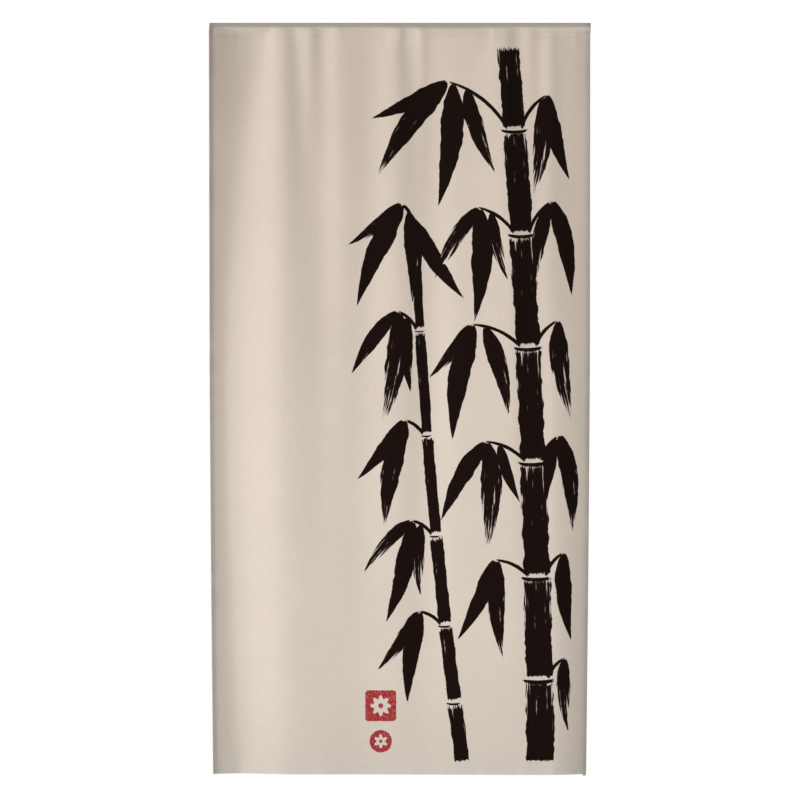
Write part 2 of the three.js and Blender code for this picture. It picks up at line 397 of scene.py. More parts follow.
def cloth_object(name, middle, behind, inside, share, length, shade):
    """A thin closed sheet around a grid of middle points, thicker at the back by what lies behind it.

    Its points keep their place on the flat cloth, with a third part of 0 on the front and 1 on the back.
    """
    normals = outward_normals(middle)
    half = rounding(inside) * (CLOTH + behind) / 2
    front = middle + normals * (half - behind / 2)[..., None]
    back = middle - normals * (half + behind / 2)[..., None]
    points = np.concatenate([front.reshape(-1, 3), back.reshape(-1, 3)])
    quads = sheet_faces(*share.shape)
    mesh = bpy.data.meshes.new(name)
    mesh.from_pydata(points.tolist(), [], np.concatenate(quads).tolist())
    uv = mesh.uv_layers.new(name="OFBake")
    uv.data.foreach_set("uv", sheet_uvs(share, length, *quads).ravel())
    flat_front = np.stack([middle[..., 0], length, np.zeros_like(length)], axis=-1).reshape(-1, 3)
    flat_back = flat_front + np.array([0, 0, 1])
    add_attribute(mesh, "flat", "FLOAT_VECTOR", np.concatenate([flat_front, flat_back]))
    # the painted shade, the same on the front and the back
    add_attribute(mesh, "shade", "FLOAT", np.tile(shade.ravel(), 2))
    shade_smooth(mesh)
    mesh.set_sharp_from_angle(angle=math.radians(SHARP_ANGLE))
    return add_object(name, mesh)


def make_panel():
    """The panel from the seam to the bottom edge, and where its points lie across and down it."""
    share, drop = np.meshgrid(cloth_columns(), panel_rows())
    middle = panel_point(share, drop)
    side_hem = in_side_hem(share) * (drop > POCKET_DROP + SEAM_LAP)
    bottom_hem = drop >= DROP - BOTTOM_HEM * HEM_MARGIN
    behind = HEM_LAYER * (side_hem + bottom_hem)
    inside = np.minimum(from_side(share), DROP - drop)
    # painted shade towards the side edges
    panel = cloth_object("cloth_panel", middle, behind, inside, share, drop, side_shade(share))
    return panel, share * half_width(drop), drop


def make_pocket():
    """The rod pocket, from its lap over the rod to the seam, and the length of its cloth."""
    path, places = pocket_path()
    share, y = np.meshgrid(cloth_columns(), path[:, 0])
    drop = np.repeat(path[:, 1:], share.shape[1], axis=1)
    length = np.repeat(places[:, None], share.shape[1], axis=1) - places[-1] + POCKET_DROP
    middle = pocket_point(share * TOP_WIDTH / 2, y, drop)
    behind = HEM_LAYER * in_side_hem(share) * (1 - smooth(drop, *POCKET_HEM_END))
    inside = np.minimum(from_side(share), length - length.min())
    # painted shade: a dark band under the top fold, a little over the rest of the pocket, and more towards the
    # side edges
    shade = np.interp(drop, TOP_SHADE_DROPS, TOP_SHADES) + side_shade(share)
    pocket = cloth_object("cloth_pocket", middle, behind, inside, share, length, shade)
    return pocket, places[-1]


# Print: bamboo in brush strokes, in millimetres across (x) and down (drop) the panel

# A taper holds the powers by which a stroke narrows to its start and to its end: 0 is blunt, 1 is pointed.
CULM_TAPER = (0.05, 0.05)
TWIG_TAPER = (0.12, 0.3)
JOINT_TAPER = (0.35, 0.35)
LEAF_TAPER = (0.62, 1.15)

CULM_FLARE = 0.13  # how much wider a length of culm is at its ends
FLARE_BEND = 4  # how near the ends the flare stays
JOINT_GAP = 4  # from a joint to the culm above and below it
JOINT_REACH = 0.62  # a joint's reach to each side, as a share of the culm's width
JOINT_WIDTH = 0.26  # its width and its bow are shares of that reach
JOINT_BOW = -0.16
JOINT_ENDS = (3, 1)  # how far below the joint its left and right ends lie
JOINT_DRY = 0.15  # how dry the brush is, from 0 to 1
TWIG_WIDTH = 9
TWIG_ARCH = 0.1  # share of the twig's length
TWIG_ROOT = 0.3  # it starts this share of the culm's width from its middle
TWIG_DRY = 0.25
LEAF_WIDTH = 0.185  # share of the leaf's length
LEAF_BOW = 0.04
LEAF_DRY = (0.2, 0.4, 0.6, 0.8)  # taken in turn

# Culms, with the drops of their joints from the base up, their x and their width at the base and the top
CULMS = [
    dict(joints=(1772, 1570, 1325, 1050, 775, 505, 255, 52), x=(336, 258), width=(68, 52), bow=16, dry=0.55),
    dict(joints=(1772, 1625, 1440, 1225, 985, 735, 470), x=(150, 34), width=(36, 20), bow=-16, dry=0.5),
]

# A twig leaves a culm at one of its joints and ends at "to". "leaves" holds, for each leaf, its place as a
# share of the twig, its direction in degrees from straight down, left negative, and its length.
SPRAYS = [
    dict(culm=0, joint=6, to=(112, 140),
         leaves=((1, -64, 205), (1, -36, 285), (0.92, -7, 300), (0.74, 19, 215))),
    dict(culm=0, joint=6, to=(352, 172), leaves=((1, 15, 215), (0.9, -6, 240))),
    dict(culm=1, joint=6, to=(2, 432),
         leaves=((1, -52, 165), (0.9, -24, 270), (0.42, 2, 225), (0.1, 33, 235))),
    dict(culm=0, joint=5, to=(186, 442), leaves=((1, -31, 200), (0.95, -3, 275), (0.7, 14, 170))),
    dict(culm=0, joint=5, to=(366, 425), leaves=((1, 11, 235), (0.9, -10, 195))),
    dict(culm=1, joint=5, to=(-6, 690), leaves=((1, -36, 190), (0.92, -9, 280), (0.6, 3, 185))),
    dict(culm=0, joint=4, to=(168, 722), leaves=((1, -38, 165), (0.95, -10, 285), (0.75, 15, 225))),
    dict(culm=0, joint=4, to=(378, 712), leaves=((1, 8, 245),)),
    dict(culm=1, joint=4, to=(8, 950), leaves=((1, -38, 185), (0.92, -11, 265))),
    dict(culm=0, joint=3, to=(204, 1002), leaves=((1, -29, 220), (0.95, -1, 270), (0.7, 20, 150))),
    dict(culm=0, joint=3, to=(384, 985), leaves=((1, 7, 235), (0.85, -9, 180))),
    dict(culm=1, joint=3, to=(26, 1190), leaves=((1, -42, 170), (0.92, -15, 255), (0.6, 0, 175))),
    dict(culm=0, joint=2, to=(226, 1285), leaves=((1, -25, 215), (0.92, 3, 235))),
    dict(culm=0, joint=2, to=(392, 1268), leaves=((1, 5, 215),)),
    dict(culm=1, joint=2, to=(44, 1408), leaves=((1, -35, 175), (0.92, -8, 225))),
    dict(culm=0, joint=1, to=(394, 1520), leaves=((1, 3, 180),)),
]

# The values of a layer's points where no stroke comes near
NO_PLACE = (0.0, 0.0, -1.0)
NO_FORM = (0.5, 0.5, 0.0, 1.0)
STROKE_PAD = 1.2 * ROW_STEP  # how far a stroke's values reach past it


def brush_stroke(start, end, width, bow, taper, dry, flare=0.0):
    """A brush stroke from start to end, at its widest as wide as given, bowed to one side."""
    ends = dict(start=np.array(start, float), end=np.array(end, float))
    return dict(ends, width=width, bow=bow, taper=taper, dry=dry, flare=flare)


def arch(share):
    """An even arch of height 1, at a share of its span."""
    return 4 * share * (1 - share)


def culm_x(culm, drop):
    base, top = culm["joints"][0], culm["joints"][-1]
    base_x, top_x = culm["x"]
    share = (drop - top) / (base - top)
    return top_x + (base_x - top_x) * share + culm["bow"] * arch(share)


def culm_width(culm, drop):
    base, top = culm["joints"][0], culm["joints"][-1]
    return np.interp(drop, (top, base), culm["width"][::-1])


def culm_strokes(culm):
    """One straight stroke for each length of the culm, with a short curved one at each joint."""
    strokes = []
    for lower, upper in zip(culm["joints"], culm["joints"][1:]):
        low = (culm_x(culm, lower - JOINT_GAP), lower - JOINT_GAP)
        high = (culm_x(culm, upper + JOINT_GAP), upper + JOINT_GAP)
        middle = (lower + upper) / 2
        bow = culm_x(culm, middle) - (low[0] + high[0]) / 2
        width = culm_width(culm, middle)
        strokes.append(brush_stroke(low, high, width, bow, CULM_TAPER, culm["dry"], CULM_FLARE))
    for joint in culm["joints"][1:-1]:
        reach = culm_width(culm, joint) * JOINT_REACH
        x = culm_x(culm, joint)
        left = (x - reach, joint + JOINT_ENDS[0])
        right = (x + reach, joint + JOINT_ENDS[1])
        width = reach * JOINT_WIDTH
        bow = reach * JOINT_BOW
        strokes.append(brush_stroke(left, right, width, bow, JOINT_TAPER, JOINT_DRY))
    return strokes


def spray_strokes(spray, turn):
    """A thin arched twig from the culm's joint and the leaves that hang from it, which differ by turn."""
    culm = CULMS[spray["culm"]]
    joint = culm["joints"][spray["joint"]]
    end = np.array(spray["to"], float)
    side = 1 if end[0] > culm_x(culm, joint) else -1
    root = np.array([culm_x(culm, joint) + side * TWIG_ROOT * culm_width(culm, joint), joint])
    length = np.linalg.norm(end - root)
    rise = TWIG_ARCH * length * side
    across = np.array([end[1] - root[1], root[0] - end[0]]) / length
    strokes = [brush_stroke(root, end, TWIG_WIDTH, rise, TWIG_TAPER, TWIG_DRY)]
    for i, (share, direction, leaf) in enumerate(spray["leaves"]):
        angle = math.radians(direction)
        heading = np.array([math.sin(angle), math.cos(angle)])
        start = root + (end - root) * share + across * rise * arch(share)
        bow = (-1 if (i + turn) % 2 else 1) * LEAF_BOW * leaf
        dry = LEAF_DRY[(i * 2 + turn) % len(LEAF_DRY)]
        strokes.append(brush_stroke(start, start + heading * leaf, leaf * LEAF_WIDTH, bow, LEAF_TAPER, dry))
    return strokes


def print_strokes():
    strokes = [stroke for culm in CULMS for stroke in culm_strokes(culm)]
    for turn, spray in enumerate(SPRAYS):
        strokes += spray_strokes(spray, turn)
    return strokes


def place_on_stroke(stroke, x, drop):
    """The share along a stroke and the distance across it of the panel's points, and its length."""
    start = stroke["start"] * MM
    end = stroke["end"] * MM
    length = np.linalg.norm(end - start)
    right, down = (end - start) / length
    share = ((x - start[0]) * right + (drop - start[1]) * down) / length
    across = (x - start[0]) * down - (drop - start[1]) * right
    return share, across - stroke["bow"] * MM * arch(share), length


def grow(mask):
    """The mask and the points next to it."""
    tall = mask.copy()
    tall[1:] |= mask[:-1]
    tall[:-1] |= mask[1:]
    grown = tall.copy()
    grown[:, 1:] |= tall[:, :-1]
    grown[:, :-1] |= tall[:, 1:]
    return grown


def brush_layers(strokes, x, drop):
    """Strokes sorted into layers where none meets another, as values at the panel's points.

    A point's place is its share along the stroke, its distance across it and the stroke's half-width there.
    Its form is the stroke's two tapers, its dryness and its length.
    """
    layers = []
    for stroke in strokes:
        share, across, length = place_on_stroke(stroke, x, drop)
        flare = 1 + stroke["flare"] * np.clip(np.abs(2 * share - 1), 0, 1) ** FLARE_BEND
        half = stroke["width"] / 2 * MM * flare
        past_end = STROKE_PAD / length
        owned = (np.abs(across) < half + STROKE_PAD) & (share > -past_end) & (share < 1 + past_end)
        reach = grow(owned)
        layer = next((layer for layer in layers if not (layer["used"] & reach).any()), None)
        if layer is None:
            layer = dict(used=np.zeros(x.shape, bool))
            layer["place"] = np.full((*x.shape, len(NO_PLACE)), NO_PLACE)
            layer["form"] = np.full((*x.shape, len(NO_FORM)), NO_FORM)
            layers.append(layer)
        layer["used"] |= owned
        layer["place"][owned] = np.stack([share, across, half], axis=-1)[owned]
        layer["form"][owned] = (*stroke["taper"], stroke["dry"], length)
    return layers


# Node helpers

# Where a mix node keeps its factor, low value and high value, for numbers and for colours
NUMBER_MIX = (0, 2, 3)
COLOUR_MIX = (0, 6, 7)


class Tree:
    """Short calls that add nodes to a tree and return what to link on."""

    def __init__(self, tree):
        self.tree = tree

    def node(self, kind, inputs=None, **settings):
        node = self.tree.nodes.new(kind)
        for key, value in settings.items():
            setattr(node, key, value)
        for key, value in (inputs or {}).items():
            self.put(node.inputs[key], value)
        return node

    def put(self, socket, value):
        if isinstance(value, bpy.types.NodeSocket):
            self.tree.links.new(value, socket)
        else:
            socket.default_value = value

    def math(self, operation, *values):
        return self.node("ShaderNodeMath", dict(enumerate(values)), operation=operation).outputs[0]

    def times(self, value, other):
        return self.math("MULTIPLY", value, other)

    def minus(self, value, other):
        return self.math("SUBTRACT", value, other)

    def length(self, x, y):
        return self.math("SQRT", self.math("ADD", self.times(x, x), self.times(y, y)))

    def split(self, vector):
        return self.node("ShaderNodeSeparateXYZ", {0: vector}).outputs

    def vector(self, x, y, z=0.0):
        return self.node("ShaderNodeCombineXYZ", {0: x, 1: y, 2: z}).outputs[0]

    def ramp(self, value, low, high, to_low=0.0, to_high=1.0):
        inputs = {"Value": value, "From Min": low, "From Max": high, "To Min": to_low, "To Max": to_high}
        return self.node("ShaderNodeMapRange", inputs, interpolation_type="SMOOTHSTEP").outputs[0]

    def noise(self, vector, scale=1.0, detail=2.0, roughness=0.5):
        inputs = {"Vector": vector, "Scale": scale, "Detail": detail, "Roughness": roughness}
        return self.node("ShaderNodeTexNoise", inputs).outputs[0]

    def mix(self, factor, low, high):
        inputs = dict(zip(NUMBER_MIX, (factor, low, high)))
        return self.node("ShaderNodeMix", inputs, data_type="FLOAT").outputs[0]

    def blend(self, factor, low, high, kind="MIX"):
        inputs = dict(zip(COLOUR_MIX, (factor, low, high)))
        return self.node("ShaderNodeMix", inputs, data_type="RGBA", blend_type=kind).outputs[2]

    def attribute(self, name):
        return self.node("ShaderNodeAttribute", attribute_name=name).outputs


def new_material(name, finish):
    """A material, its tree of nodes and its shader, with the finish on the shader's sockets."""
    material = bpy.data.materials.new(name)
    material.use_nodes = True
    t = Tree(material.node_tree)
    shader = t.tree.nodes["Principled BSDF"]
    for key, value in finish.items():
        t.put(shader.inputs[key], value)
    return material, t, shader


def colour(red, green, blue):
    """A linear colour from an sRGB one with parts from 0 to 255."""
    parts = np.array([red, green, blue]) / 255
    linear = np.where(parts <= 0.04045, parts / 12.92, ((parts + 0.055) / 1.055) ** 2.4)
    return (*linear.tolist(), 1.0)


# Cloth and ink

CLOTH_WARM = colour(213, 199, 184)  # at the top
CLOTH_GREY = colour(212, 200, 187)  # lower down
CLOTH_HEM = colour(209, 202, 192)  # at the bottom hem
GREYING = (0.1, 1.5)  # drops between which the cloth goes from warm to grey
HEM_GREYING = (DROP - 45 * MM, DROP - 10 * MM)  # and from there to the hem's colour
# painted shade: the colour that the cloth is multiplied by where the shade attribute is full
PAINTED_SHADE_TINT = (0.43, 0.46, 0.55, 1.0)
NOISE_RANGE = (0.3, 0.7)  # where most of a noise lies
NOISE_MIDDLE = 0.5
CLOUD_GRAIN = dict(scale=6.0, detail=3.0)  # its scale is to the metre, like all noise below
CLOUD_TONES = (0.985, 1.012)

WEAVE_PITCH = 1.1 * MM
WEAVE_HEIGHT = 0.35  # of the threads, beside 1 for the slubs
SLUBS_ACROSS = 900.0
SLUBS_ALONG = 28.0
SLUB_RANGE = (0.6, 1.4)  # the slubs of both directions added up
SLUB_TONES = (0.955, 1.04)
SLUB_ROUGHNESS = (0.93, 0.84)
CLOTH_BUMP = {"Strength": 0.35, "Distance": 0.12 * MM}
CLOTH_FINISH = {"Specular IOR Level": 0.06, "Sheen Weight": 0.04, "Sheen Roughness": 0.5}

INK = colour(22, 10, 6)
PRINT_THROUGH = 0.16  # share of the print on the back
INK_EDGE = 0.5 * MM
INK_RAGGED = 2.4 * MM
INK_GRAIN = dict(scale=260.0, detail=3.0, roughness=0.6)
STROKE_END = 0.0005  # a taper is read no nearer to the ends than this share
STROKE_APART = 97.0  # sets the noise of strokes of different lengths apart
EDGE_WAVES = 26.0
EDGE_WAVE = 0.11  # share of the stroke's half-width
EDGE_WAVE_RANGE = (0.25, 0.75)
BRISTLES = 320.0
RAGGED_START = 5 * MM
RAGGED_END = 13 * MM
DRYING = (0.1, 1.0)  # shares of a stroke between which the brush runs dry
DRY_FROM = 0.45  # share of its dryness at the start
STREAKS_ALONG = 9.0
STREAKS_ACROSS = 210.0
STREAK_GRAIN = dict(detail=3.0, roughness=0.62)
STREAK_LEVEL = 0.17  # noise below this leaves the cloth bare
STREAK_DRY = 0.36  # what a dry brush adds to it
STREAK_EDGE = 0.05  # what a stroke's edge adds to it
STREAK_EDGE_REACH = 7 * MM
STREAK_SOFTNESS = (-0.02, 0.05)

# Two small red marks in millimetres: a square and a disc, each with a flower left bare in it
MARKS = [
    dict(x=-46, drop=1634, half=37, corner=7, petals=8, reach=25, dip=0.17, core=6),
    dict(x=-46, drop=1719, half=27, corner=27, petals=6, reach=17, dip=0.22, core=4),
]
MARK_RED = colour(158, 40, 46)
MARK_RAGGED = 5 * MM
MARK_GRAIN = dict(scale=240.0, detail=3.0, roughness=0.6)
MARK_THIN_SPOTS = 420.0
MARK_THIN_RANGE = (0.30, 0.42)


def taper_share(t, share, first, last):
    """The share of its full width that a stroke has along it."""
    inside = t.math("MAXIMUM", t.math("MINIMUM", share, 1 - STROKE_END), STROKE_END)
    widest = t.math("DIVIDE", first, t.math("ADD", first, last))
    rising = t.math("POWER", t.math("DIVIDE", inside, widest), first)
    rest = t.minus(1.0, inside)
    falling = t.math("POWER", t.math("DIVIDE", rest, t.minus(1.0, widest)), last)
    return t.times(rising, falling)


def depth_in_stroke(t, share, across, half, first, last, length):
    """How far inside a stroke's wavy sides and ragged ends a point lies, and how far along it."""
    along = t.times(share, length)
    apart = t.times(length, STROKE_APART)
    wave_place = t.vector(t.times(along, EDGE_WAVES), t.math("SIGN", across), apart)
    wave = t.ramp(t.noise(wave_place), *EDGE_WAVE_RANGE, 1 - EDGE_WAVE, 1 + EDGE_WAVE)
    width = t.times(t.times(half, wave), taper_share(t, share, first, last))
    beside = t.minus(width, t.math("ABSOLUTE", across))
    bristle_place = t.vector(t.times(across, BRISTLES), share, apart)
    bristles = t.ramp(t.noise(bristle_place), *NOISE_RANGE)
    from_start = t.math("MULTIPLY_ADD", bristles, -RAGGED_START, along)
    to_end = t.math("MULTIPLY_ADD", bristles, -RAGGED_END, t.minus(length, along))
    return t.math("MINIMUM", beside, t.math("MINIMUM", from_start, to_end)), along


def brush_group():
    """One layer of strokes: keeps whichever stroke the point lies deepest in."""
    group = bpy.data.node_groups.new("brush_layer", "ShaderNodeTree")
    carried = ("edge", "along", "across", "dry")
    sockets = [("place", "NodeSocketVector"), ("form", "NodeSocketVector"), ("length", "NodeSocketFloat")]
    for name, kind in sockets + [(name, "NodeSocketFloat") for name in carried]:
        group.interface.new_socket(name, in_out="INPUT", socket_type=kind)
    for name in carried:
        group.interface.new_socket(name, in_out="OUTPUT", socket_type="NodeSocketFloat")
    t = Tree(group)
    given = group.nodes.new("NodeGroupInput").outputs
    result = group.nodes.new("NodeGroupOutput").inputs
    share, across, half = t.split(given["place"])
    first, last, dry = t.split(given["form"])
    edge, along = depth_in_stroke(t, share, across, half, first, last, given["length"])
    deeper = t.math("GREATER_THAN", edge, given["edge"])
    run_dry = t.times(dry, t.ramp(share, *DRYING, DRY_FROM, 1.0))
    t.put(result["edge"], t.math("MAXIMUM", edge, given["edge"]))
    t.put(result["along"], t.mix(deeper, given["along"], along))
    t.put(result["across"], t.mix(deeper, given["across"], across))
    t.put(result["dry"], t.mix(deeper, given["dry"], run_dry))
    return group


def deepest_stroke(t, layer_count):
    """The depth in the deepest stroke of all layers, and the place on it."""
    group = brush_group()
    carried = {"edge": -1.0, "along": 0.0, "across": 0.0, "dry": 0.0}
    for k in range(layer_count):
        place = t.attribute(f"brush_place_{k}")["Vector"]
        form = t.attribute(f"brush_form_{k}")
        layer = t.node("ShaderNodeGroup", node_tree=group)
        inputs = {"place": place, "form": form["Color"], "length": form["Alpha"], **carried}
        for key, value in inputs.items():
            t.put(layer.inputs[key], value)
        carried = {key: layer.outputs[key] for key in carried}
    return carried


def ink_mask(t, flat, layer_count):
    """Where the brush left ink: ragged at the edges and streaked where it ran dry."""
    stroke = deepest_stroke(t, layer_count)
    rough_edge = t.minus(t.noise(flat, **INK_GRAIN), NOISE_MIDDLE)
    edge = t.math("MULTIPLY_ADD", rough_edge, INK_RAGGED, stroke["edge"])
    solid = t.ramp(edge, -INK_EDGE, INK_EDGE)
    streak_along = t.times(stroke["along"], STREAKS_ALONG)
    streak_across = t.times(stroke["across"], STREAKS_ACROSS)
    streaks = t.noise(t.vector(streak_along, streak_across), **STREAK_GRAIN)
    near_edge = t.ramp(stroke["edge"], 0.0, STREAK_EDGE_REACH, STREAK_EDGE, 0.0)
    level = t.math("MULTIPLY_ADD", stroke["dry"], STREAK_DRY, t.math("ADD", near_edge, STREAK_LEVEL))
    wet = t.ramp(t.minus(streaks, level), *STREAK_SOFTNESS)
    return t.times(solid, wet)


def mark_mask(t, flat, mark):
    """A square with round corners, or a disc, with a flower left bare in it."""
    x, drop, _ = t.split(flat)
    right = t.minus(x, mark["x"] * MM)
    up = t.minus(mark["drop"] * MM, drop)
    straight_half = (mark["half"] - mark["corner"]) * MM
    past = [t.math("MAXIMUM", t.minus(t.math("ABSOLUTE", way), straight_half), 0.0) for way in (right, up)]
    inside = t.minus(mark["corner"] * MM, t.length(*past))
    worn = t.times(t.minus(t.noise(flat, **MARK_GRAIN), NOISE_MIDDLE), MARK_RAGGED)
    body = t.ramp(t.math("ADD", inside, worn), -INK_EDGE, INK_EDGE)
    away = t.length(right, up)
    wave = t.math("COSINE", t.times(t.math("ARCTAN2", right, up), float(mark["petals"])))
    reach = mark["reach"] * MM
    petal = t.math("MULTIPLY_ADD", wave, reach * mark["dip"], reach * (1 - mark["dip"]))
    in_petals = t.ramp(t.math("ADD", t.minus(petal, away), worn), -INK_EDGE, INK_EDGE)
    core = t.ramp(t.minus(mark["core"] * MM, away), -INK_EDGE, INK_EDGE)
    bare = t.times(in_petals, t.minus(1.0, core))
    return t.times(body, t.minus(1.0, bare))


def marks_mask(t, flat):
    """Both red marks, with thin places in the ink."""
    square, disc = (mark_mask(t, flat, mark) for mark in MARKS)
    thin = t.ramp(t.noise(flat, MARK_THIN_SPOTS), *MARK_THIN_RANGE)
    return t.times(t.math("MAXIMUM", square, disc), thin)


def weave(t, flat):
    """The height of a plain weave with slubs in both directions, and the slubs alone."""
    x, drop, _ = t.split(flat)
    turn = 2 * math.pi / WEAVE_PITCH
    warp = t.math("SINE", t.times(x, turn))
    weft = t.math("SINE", t.times(drop, turn))
    threads = t.times(warp, weft)
    upright = t.vector(t.times(x, SLUBS_ACROSS), t.times(drop, SLUBS_ALONG))
    level = t.vector(t.times(x, SLUBS_ALONG), t.times(drop, SLUBS_ACROSS))
    slubs = t.math("ADD", t.noise(upright), t.noise(level))
    return t.math("MULTIPLY_ADD", threads, WEAVE_HEIGHT, slubs), slubs


def cloth_material(name, layer_count):
    """Woven cloth, uneven in tone, darkened by painted shade at the pocket and the side edges, and printed
    where it has layers of strokes.
    """
    material, t, shader = new_material(name, CLOTH_FINISH)
    flat = t.attribute("flat")["Vector"]
    drop, side = t.split(flat)[1:3]
    height, slubs = weave(t, flat)
    ground = t.blend(t.ramp(drop, *GREYING), CLOTH_WARM, CLOTH_GREY)
    ground = t.blend(t.ramp(drop, *HEM_GREYING), ground, CLOTH_HEM)
    uneven = t.ramp(slubs, *SLUB_RANGE, *SLUB_TONES)
    cloudy = t.ramp(t.noise(flat, **CLOUD_GRAIN), *NOISE_RANGE, *CLOUD_TONES)
    tone = t.times(uneven, cloudy)
    base = t.node("ShaderNodeVectorMath", {0: ground, "Scale": tone}, operation="SCALE").outputs[0]
    # painted shade: the shade attribute darkens the colour towards the painted shade tint
    base = t.blend(t.attribute("shade")["Fac"], base, PAINTED_SHADE_TINT, "MULTIPLY")
    if layer_count:
        through = t.mix(side, 1.0, PRINT_THROUGH)
        base = t.blend(t.times(marks_mask(t, flat), through), base, MARK_RED)
        base = t.blend(t.times(ink_mask(t, flat, layer_count), through), base, INK)
    t.put(shader.inputs["Base Color"], base)
    t.put(shader.inputs["Normal"], t.node("ShaderNodeBump", {"Height": height, **CLOTH_BUMP}).outputs[0])
    t.put(shader.inputs["Roughness"], t.ramp(slubs, *SLUB_RANGE, *SLUB_ROUGHNESS))
    return material


def print_panel(panel, x, drop):
    """Gives the panel's points their places on the strokes, front and back, and prints it."""
    layers = brush_layers(print_strokes(), x, drop)
    for k, layer in enumerate(layers):
        for part, kind in (("place", "FLOAT_VECTOR"), ("form", "FLOAT_COLOR")):
            values = layer[part].reshape(x.size, -1)
            add_attribute(panel.data, f"brush_{part}_{k}", kind, np.tile(values, (2, 1)))
    panel.data.materials.append(cloth_material("printed_cloth", len(layers)))


# Stitches

STITCH_LENGTH = 2.7 * MM
STITCH_PITCH = 3.8 * MM
STITCH_PROFILE = ((0.0, 0.35), (0.2, 0.85), (0.5, 1.0), (0.8, 0.85), (1.0, 0.35))  # share along, fullness
THREAD_RADIUS = 0.24 * MM
THREAD_SIDES = 6
SEAM_LINE_DROP = POCKET_DROP + 1.4 * MM  # the seam's line on the front
SEAM_LINE = dict(reach=0.992, points=460)  # reach as a share of the half-width
SIDE_LINE_INSET = 8.2 * MM
SIDE_LINE_START = 3 * MM  # below the seam, or on the back below the lap
SIDE_LINE_END = 4 * MM  # above the bottom edge
SIDE_LINE_STEP = 2 * MM
BOTTOM_LINE_DROP = DROP - 18 * MM
BOTTOM_LINE = dict(reach=0.985, points=450)
NEARBY = 0.4 * MM  # a small step in the drop, or in the share of the half-width
POCKET_NEARBY = np.array([-1, 0, 1]) * MM  # the same beside a line on the pocket

THREAD_DARK = colour(188, 174, 160)
THREAD_LIGHT = colour(218, 206, 192)
THREAD_GRAIN = dict(scale=2600.0, detail=1.0)
THREAD_ROUGHNESS = (0.6, 0.8)
THREAD_FINISH = {"Specular IOR Level": 0.3}


def stitch_line(points, normals):
    """Short thread lumps along a line of close points, each half sunk into the cloth."""
    lengths = run_lengths(points)
    starts = np.arange(STITCH_PITCH / 2, lengths[-1] - STITCH_PITCH, STITCH_PITCH)
    rings = []
    for share, fullness in STITCH_PROFILE:
        places = starts + share * STITCH_LENGTH
        centre = read_along(places, lengths, points)
        out = read_along(places, lengths, normals)
        ahead = unit(read_along(places + MM, lengths, points) - centre)
        beside = np.cross(out, ahead)
        radius = THREAD_RADIUS * fullness
        for turn in np.linspace(0, 2 * math.pi, THREAD_SIDES, endpoint=False):
            rings.append(centre + radius * (math.cos(turn) * out + math.sin(turn) * beside))
    grid = np.stack(rings, axis=1)
    return grid.reshape(-1, 3), stitch_faces(len(starts))


def stitch_faces(count):
    """Quads between the rings of each stitch, and a cap at both ends."""
    sides = THREAD_SIDES
    rings = len(STITCH_PROFILE)
    quads = []
    caps = []
    for stitch in range(count):
        first = stitch * rings * sides
        for ring in range(rings - 1):
            for side in range(sides):
                a = first + ring * sides + side
                b = first + ring * sides + (side + 1) % sides
                quads.append((a, a + sides, b + sides, b))
        caps.append(tuple(first + k for k in range(sides)))
        caps.append(tuple(first + (rings - 1) * sides + k for k in reversed(range(sides))))
    return quads + caps


def line_on_panel(shares, drops, is_back, behind):
    """Points and outward normals along a line on the front or back of the panel."""
    point = panel_point(shares, drops)
    across = panel_point(shares + NEARBY, drops) - panel_point(shares - NEARBY, drops)
    down = panel_point(shares, drops + NEARBY) - panel_point(shares, drops - NEARBY)
    normals = unit(np.cross(down, across))
    if is_back:
        return point - normals * (CLOTH / 2 + behind), -normals
    return point + normals * CLOTH / 2, normals


def level_line(line, drop, is_back, behind):
    """The same along a level line across the panel."""
    shares = np.linspace(-line["reach"], line["reach"], line["points"])
    return line_on_panel(shares, np.full(line["points"], drop), is_back, behind)


def line_on_pocket(share):
    """Points and outward normals round the outside of the pocket, from its lap to the seam."""
    path, _ = pocket_path()
    x = (share + POCKET_NEARBY) * TOP_WIDTH / 2
    grid = pocket_point(x, path[:, :1], path[:, 1:])
    normals = outward_normals(grid)[:, 1]
    return grid[:, 1] + normals * CLOTH / 2, normals


def sewn_lines():
    """The sewn lines: along the hems, on both faces, and the seam under the pocket."""
    for side in (-1, 1):
        yield line_on_pocket(side * (1 - SIDE_LINE_INSET / (TOP_WIDTH / 2)))
    for is_back, covered in ((False, 0), (True, SEAM_LAP)):
        start = POCKET_DROP + covered + SIDE_LINE_START
        drops = np.arange(start, DROP - SIDE_LINE_END, SIDE_LINE_STEP)
        for side in (-1, 1):
            shares = side * (1 - SIDE_LINE_INSET / half_width(drops))
            yield line_on_panel(shares, drops, is_back, HEM_LAYER)
        yield level_line(BOTTOM_LINE, BOTTOM_LINE_DROP, is_back, HEM_LAYER)
    yield level_line(SEAM_LINE, SEAM_LINE_DROP, False, 0.0)
    yield level_line(SEAM_LINE, POCKET_DROP + SEAM_LAP / 2, True, LAP_BEHIND + CLOTH / 2)


def make_stitches():
    points = []
    faces = []
    total = 0
    for line in sewn_lines():
        line_points, line_faces = stitch_line(*line)
        faces += [tuple(k + total for k in face) for face in line_faces]
        points.append(line_points)
        total += len(line_points)
    mesh = bpy.data.meshes.new("stitches")
    mesh.from_pydata(np.concatenate(points).tolist(), [], faces)
    shade_smooth(mesh)
    mesh.materials.append(thread_material())
    return add_object("stitches", mesh)


def thread_material():
    """Sewing thread a little paler and darker along its twist."""
    material, t, shader = new_material("sewing_thread", THREAD_FINISH)
    place = t.node("ShaderNodeTexCoord").outputs["Object"]
    twist = t.noise(place, **THREAD_GRAIN)
    t.put(shader.inputs["Base Color"], t.blend(twist, THREAD_DARK, THREAD_LIGHT))
    t.put(shader.inputs["Roughness"], t.ramp(twist, *NOISE_RANGE, *THREAD_ROUGHNESS))
    return material


# Stage, light and camera

